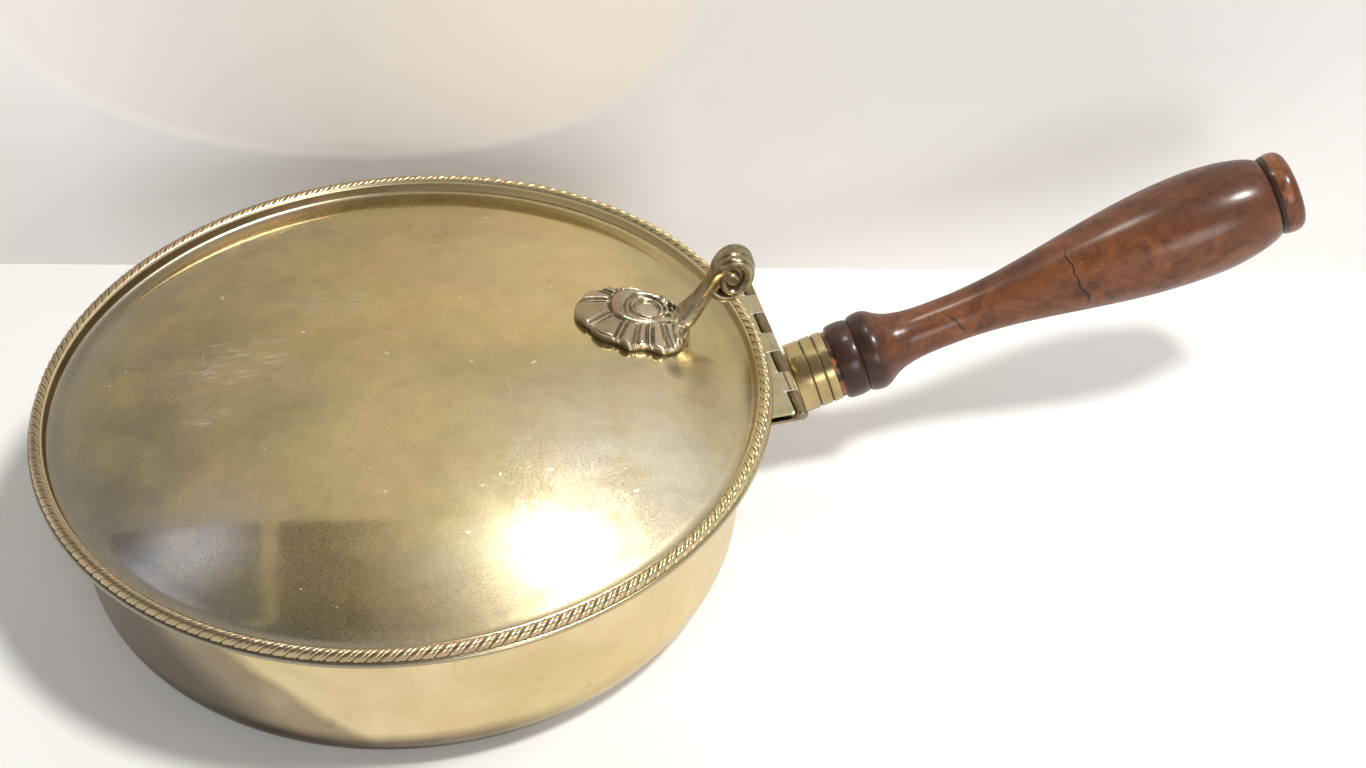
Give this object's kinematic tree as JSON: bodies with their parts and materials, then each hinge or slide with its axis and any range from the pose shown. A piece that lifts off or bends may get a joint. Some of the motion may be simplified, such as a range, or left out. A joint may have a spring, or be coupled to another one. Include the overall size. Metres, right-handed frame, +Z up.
{
  "type": "silent butler",
  "caption": "Round lidded brass pan with a rope-edged domed lid, a cast shell and scroll thumb lift, a pin hinge and a turned wooden handle.",
  "frame": {"origin": "centre of the pan's flat base, on the surface that it stands on", "axes": "+X from the pan's centre towards the handle, +Z up, +Y to the far side as the picture shows it"},
  "size_m": [0.3238, 0.1818, 0.0726],
  "materials": {
    "sheet_brass": "polished once, now softly tarnished and finely scratched",
    "dark_brass": "dull, with dark tarnish in the recesses",
    "cast_brass": "cast, worn bright on its high places, dark in its hollows",
    "varnished_wood": "turned, stained red-brown, varnished, with fine cracks and worn edges",
    "steel": "plain"
  },
  "bodies": {
    "pan_side": {"pan": "sheet_brass", "pan_hinge_leaf": "dark_brass", "hinge_pin": "steel", "handle_bracket": "dark_brass", "bracket_rivets": "sheet_brass", "ferrule": "sheet_brass", "wood_handle": "varnished_wood", "handle_stud": "steel"},
    "lid_side": {"lid": "sheet_brass", "rope_border": "dark_brass", "thumb_lift": "cast_brass", "lift_rivets": "sheet_brass", "lid_hinge_leaf": "sheet_brass"}
  },
  "joints": [
    {"name": "lid_hinge", "type": "hinge", "parent": "pan_side", "child": "lid_side", "pos_m": [0.0936, -0.0015, 0.04268], "axis": [0, 1, 0], "range_deg": [0, 91]}
  ]
}
